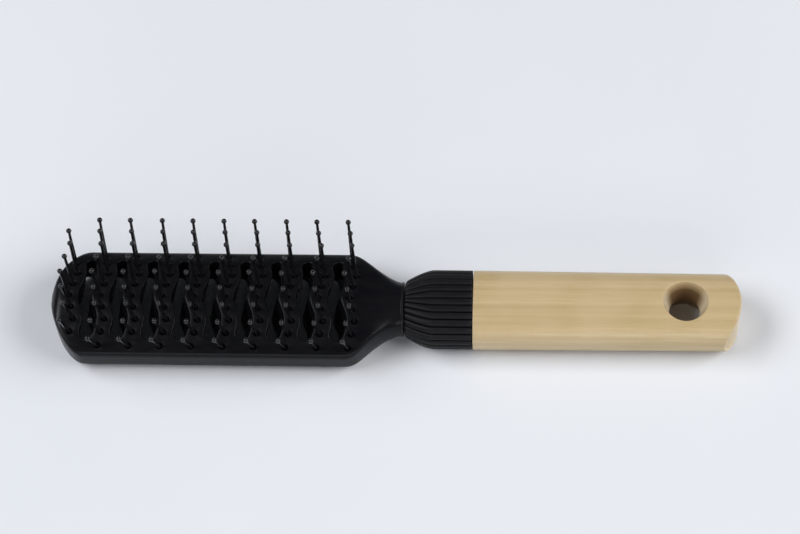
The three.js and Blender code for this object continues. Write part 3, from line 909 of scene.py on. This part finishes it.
# ---- Materials ----
class Nodes:
    """A short way to write a material's nodes."""

    def __init__(self, name):
        self.material = bpy.data.materials.new(name)
        self.material.use_nodes = True
        self.tree = self.material.node_tree
        self.shader = self.tree.nodes["Principled BSDF"]

    def add(self, kind, inputs=None, **settings):
        node = self.tree.nodes.new(kind)
        for key, value in settings.items():
            setattr(node, key, value)
        for key, value in (inputs or {}).items():
            self.feed(node.inputs[key], value)
        return node

    def feed(self, socket, value):
        if isinstance(value, bpy.types.NodeSocket):
            self.tree.links.new(value, socket)
        else:
            socket.default_value = value

    def set(self, **inputs):
        for name, value in inputs.items():
            self.feed(self.shader.inputs[name.replace("_", " ")], value)

    def place(self, scale=(1, 1, 1)):
        """Object coordinates in millimetres, stretched by the scale."""
        coords = self.add("ShaderNodeTexCoord").outputs["Object"]
        size = [s / MM for s in scale]
        return self.add("ShaderNodeMapping", {"Vector": coords, "Scale": size}).outputs["Vector"]

    def noise(self, vector, scale, detail=3.0, roughness=0.5, distortion=0.0):
        inputs = {"Vector": vector, "Scale": scale, "Detail": detail}
        inputs.update({"Roughness": roughness, "Distortion": distortion})
        return self.add("ShaderNodeTexNoise", inputs).outputs["Fac"]

    def ramp(self, factor, stops):
        node = self.add("ShaderNodeValToRGB", {"Fac": factor})
        while len(node.color_ramp.elements) < len(stops):
            node.color_ramp.elements.new(0.5)
        for element, (position, colour) in zip(node.color_ramp.elements, stops):
            element.position = position
            element.color = (*colour, 1)
        return node.outputs["Color"]

    def mix(self, factor, a, b):
        node = self.add("ShaderNodeMix", data_type="RGBA")
        self.feed(node.inputs["Factor"], factor)
        self.feed(node.inputs[6], a if isinstance(a, bpy.types.NodeSocket) else (*a, 1))
        self.feed(node.inputs[7], b if isinstance(b, bpy.types.NodeSocket) else (*b, 1))
        return node.outputs[2]

    def math(self, operation, a, b=0.0):
        node = self.add("ShaderNodeMath", operation=operation)
        self.feed(node.inputs[0], a)
        self.feed(node.inputs[1], b)
        return node.outputs[0]

    def range(self, value, low, high, to_low, to_high):
        inputs = {"Value": value, "From Min": low, "From Max": high, "To Min": to_low, "To Max": to_high}
        return self.add("ShaderNodeMapRange", inputs).outputs["Result"]

    def bump(self, height, strength, distance_mm, normal=None):
        inputs = {"Height": height, "Strength": strength, "Distance": distance_mm * MM}
        node = self.add("ShaderNodeBump", inputs)
        if normal is not None:
            self.feed(node.inputs["Normal"], normal)
        return node.outputs["Normal"]

    def axes(self):
        """The object's own X, Y and Z in millimetres."""
        return self.add("ShaderNodeSeparateXYZ", {"Vector": self.place()}).outputs

    def height_from(self, z):
        """The distance above or below a level, in millimetres."""
        return self.math("ABSOLUTE", self.math("SUBTRACT", self.axes()["Z"], z))

    def near_axis(self, station, radius):
        """1 within a radius of an upright axis on the middle line, 0 outside it."""
        axes = self.axes()
        along, across = self.math("SUBTRACT", axes["X"], station + LOW.x), axes["Y"]
        squares = [self.math("MULTIPLY", part, part) for part in (along, across)]
        blur = 0.4
        return self.range(self.math("ADD", *squares), radius**2, (radius - blur) ** 2, 0, 1)

    def hollows(self, lowest, highest):
        """The lowest value deep in grooves and pits, the highest on flat and outer places."""
        pointiness = self.add("ShaderNodeNewGeometry").outputs["Pointiness"]
        return self.range(pointiness, 0.42, 0.5, lowest, highest)

    def facing(self):
        """The X, Y and Z of the surface's own normal."""
        normal = self.add("ShaderNodeNewGeometry").outputs["True Normal"]
        return self.add("ShaderNodeSeparateXYZ", {"Vector": normal}).outputs

    def edge_highlight_mask(self):
        """0 on flat and hollow places, 1 on sharp outer edges: the mask for painted edge highlights."""
        pointiness = self.add("ShaderNodeNewGeometry").outputs["Pointiness"]
        return self.range(pointiness, 0.51, 0.6, 0.0, 1.0)


def moulded_plastic(name, dark, light, roughness, gloss):
    """Black moulded plastic with a fine spark-eroded texture, faint flow marks, dust, and painted
    highlights on its sharp edges.
    """
    nodes = Nodes(name)
    place = nodes.place()
    flow = nodes.noise(nodes.place((0.25, 1, 1)), 0.22, 4, 0.55, 0.4)
    grain = nodes.noise(place, 9, 2, 0.6)
    speck = nodes.range(nodes.noise(place, 2.6, 2, 0.7), 0.76, 0.8, 0, 1)
    base = nodes.mix(nodes.range(flow, 0.3, 0.7, 0, 1), dark, light)
    # Painted highlight: sharp outer edges are lightened towards grey, as if they caught the light.
    edge_lit = nodes.mix(nodes.math("MULTIPLY", nodes.edge_highlight_mask(), 0.2), base, (0.08, 0.08, 0.085))
    dusty = nodes.mix(nodes.math("MULTIPLY", speck, 0.2), edge_lit, (0.22, 0.22, 0.23))
    marks = nodes.math("ADD", nodes.math("MULTIPLY", flow, 0.7), nodes.math("MULTIPLY", grain, 0.3))
    rough = nodes.range(marks, 0.3, 0.7, roughness - 0.06, roughness + 0.08)
    normal = nodes.bump(flow, 0.10, 0.2, nodes.bump(grain, 0.08, 0.03))
    nodes.set(Base_Color=dusty, Roughness=rough, Normal=normal, Specular_IOR_Level=gloss)
    return nodes.material


def collar_rubber():
    """Softer black material, duller than the head, with painted shade in the grooves and painted highlights
    on the rib crests.
    """
    nodes = Nodes("ribbed_collar_black")
    place = nodes.place()
    streak = nodes.noise(nodes.place((0.15, 1, 1)), 0.8, 4, 0.6)
    grain = nodes.noise(place, 7, 2, 0.6)
    amount = nodes.range(streak, 0.3, 0.7, 0, 1)
    streaked = nodes.mix(amount, (0.0066, 0.0066, 0.0078), (0.0102, 0.01, 0.0116))
    # Painted shade: the grooves between the ribs are darkened nearly to black.
    groove_shaded = nodes.mix(nodes.hollows(1, 0), streaked, (0.001, 0.001, 0.0012))
    # Painted highlight: the sharp rib crests are lightened towards grey.
    edge_lit = nodes.mix(nodes.math("MULTIPLY", nodes.edge_highlight_mask(), 0.3), groove_shaded, (0.10, 0.10, 0.105))
    rough = nodes.range(streak, 0.3, 0.7, 0.38, 0.52)
    normal = nodes.bump(grain, 0.14, 0.05, nodes.bump(streak, 0.1, 0.15))
    nodes.set(Base_Color=edge_lit, Roughness=rough, Normal=normal, Specular_IOR_Level=nodes.hollows(0.01, 0.13))
    return nodes.material


def pale_wood():
    """Close-grained pale wood under a clear satin lacquer. The grain runs along X through the whole solid,
    and the far wall of the hanging hole is darkened with painted shade, more so deeper in the hole."""
    nodes = Nodes("pale_wood_lacquered")
    bands = nodes.noise(nodes.place((0.012, 1, 0.8)), 0.19, 3, 0.5, 0.6)
    fibres = nodes.noise(nodes.place((0.035, 1, 1)), 1.9, 5, 0.62, 0.2)
    pores = nodes.noise(nodes.place((0.12, 1, 1)), 5.5, 3, 0.7)
    broad = nodes.noise(nodes.place(), 0.045, 2, 0.5)
    base = nodes.ramp(bands, [
        (0.25, (0.38, 0.28, 0.14)),
        (0.42, (0.53, 0.405, 0.21)),
        (0.53, (0.61, 0.49, 0.285)),
        (0.64, (0.51, 0.385, 0.195)),
        (0.80, (0.44, 0.33, 0.17)),
    ])
    fibred = nodes.mix(nodes.range(fibres, 0.35, 0.72, 0, 0.7), base, (0.47, 0.335, 0.17))
    pored = nodes.mix(nodes.range(pores, 0.58, 0.74, 0, 0.55), fibred, (0.36, 0.225, 0.105))
    toned = nodes.mix(nodes.range(broad, 0.35, 0.7, 0, 0.35), pored, (0.68, 0.54, 0.35))
    facing = nodes.facing()
    cross = nodes.math("ABSOLUTE", facing["X"])
    end_grain = nodes.mix(nodes.range(cross, 0.75, 0.95, 0, 0.6), toned, (0.76, 0.66, 0.51))
    deep = nodes.range(nodes.height_from(AXIS_Z), 7.8, 4.5, 0, 0.95)
    in_hole = nodes.math("MULTIPLY", nodes.near_axis(HOLE_STATION, HOLE_MOUTH_RADIUS), deep)
    # Painted shade: the hole's far wall, which faces the near side, is darkened to brown, more so deeper
    # down.
    hole_shade = nodes.math("MULTIPLY", in_hole, nodes.range(facing["Y"], -0.05, -0.65, 0.02, 1))
    hole_shaded = nodes.mix(hole_shade, end_grain, (0.10, 0.05, 0.02))
    rough = nodes.range(fibres, 0.3, 0.7, 0.36, 0.5)
    normal = nodes.bump(fibres, 0.10, 0.08, nodes.bump(pores, 0.08, 0.05))
    nodes.set(Base_Color=hole_shaded, Roughness=rough, Normal=normal, Coat_Weight=0.18, Coat_Roughness=0.3)
    return nodes.material


def floor_paper():
    nodes = Nodes("pale_studio_floor")
    mottle = nodes.noise(nodes.place(), 0.006, 3, 0.5)
    base = nodes.mix(nodes.range(mottle, 0.3, 0.7, 0, 1), (0.745, 0.775, 0.825), (0.775, 0.80, 0.845))
    normal = nodes.bump(nodes.noise(nodes.place(), 0.8, 3), 0.05, 0.05)
    nodes.set(Base_Color=base, Roughness=0.75, Normal=normal)
    return nodes.material


# ---- Stage, light and camera ----
VIEW_AZIMUTH = math.radians(6.17)
VIEW_ELEVATION = math.radians(60.02)
VIEW_ROLL = math.radians(-4.76)
VIEW_DISTANCE = 0.89933
VIEW_SIDE, VIEW_RISE = 0.00169, 0.01877
LENS, SENSOR = 117, 36
FLOOR_REACH = 2500
FLOOR_DROP = 0.02


def make_floor():
    made = Builder()
    steps = 12
    places = [lerp(-FLOOR_REACH, FLOOR_REACH, i / steps) for i in range(steps + 1)]
    made.loft([[(x, y, -FLOOR_DROP) for x in places] for y in places], closed=False, cap=False)
    floor = made.object("floor")
    floor.data.transform(Matrix.Scale(MM, 4))
    floor.data.materials.append(floor_paper())


def softbox(name, place, size, power, colour):
    """A rectangular lamp aimed at the brush."""
    light = bpy.data.lights.new(name, "AREA")
    light.shape = "RECTANGLE"
    light.size, light.size_y = size
    light.energy = power
    light.color = colour
    lamp = bpy.data.objects.new(name, light)
    lamp.location = place
    lamp.rotation_euler = (-Vector(place)).to_track_quat("-Z", "Y").to_euler()
    bpy.context.scene.collection.objects.link(lamp)


def make_lights():
    softbox("softbox_left", (-1.05, 0, 1.25), (1.3, 0.7), 18.6, (0.98, 0.99, 1.0))
    softbox("softbox_right", (1.3, -0.1, 1.05), (1.3, 0.8), 21.5, (1.0, 0.99, 0.985))
    softbox("fill_front", (0.1, -1.7, 0.75), (1.8, 0.5), 7.8, (1.0, 0.99, 0.98))
    world = bpy.data.worlds.new("soft_room")
    world.use_nodes = True
    background = world.node_tree.nodes["Background"]
    background.inputs["Color"].default_value = (0.94, 0.96, 1.0, 1)
    background.inputs["Strength"].default_value = 0.06
    bpy.context.scene.world = world


def make_camera():
    back = Vector((
        math.sin(VIEW_AZIMUTH) * math.cos(VIEW_ELEVATION),
        -math.cos(VIEW_AZIMUTH) * math.cos(VIEW_ELEVATION),
        math.sin(VIEW_ELEVATION),
    ))
    level = Vector((math.cos(VIEW_AZIMUTH), math.sin(VIEW_AZIMUTH), 0))
    upright = back.cross(level)
    right = level * math.cos(VIEW_ROLL) + upright * math.sin(VIEW_ROLL)
    up = upright * math.cos(VIEW_ROLL) - level * math.sin(VIEW_ROLL)
    camera = bpy.data.objects.new("camera", bpy.data.cameras.new("camera"))
    camera.data.lens = LENS
    camera.data.sensor_width = SENSOR
    place = back * VIEW_DISTANCE + right * VIEW_SIDE + up * VIEW_RISE
    turn = Matrix((right, up, back)).transposed().to_4x4()
    camera.matrix_world = Matrix.Translation(place) @ turn
    bpy.context.scene.collection.objects.link(camera)
    bpy.context.scene.camera = camera


def main():
    wander = random.Random(SEED)
    pins = [pins_of_row(row, wander) for row in range(ROW_COUNT)]
    make_camera()
    make_lights()
    make_floor()
    head_blacks = (0.004, 0.0041, 0.0056), (0.0062, 0.0063, 0.0078)
    pin_blacks = (0.0032, 0.0032, 0.0042), (0.0046, 0.0046, 0.0058)
    make_shells(pins, moulded_plastic("head_plastic_black", *head_blacks, 0.28, 0.17))
    make_pin_strips(pins, moulded_plastic("pin_plastic_black", *pin_blacks, 0.13, 0.4))
    make_collar(collar_rubber())
    make_handle(pale_wood())
    bpy.context.scene.view_settings.view_transform = "Standard"


main()
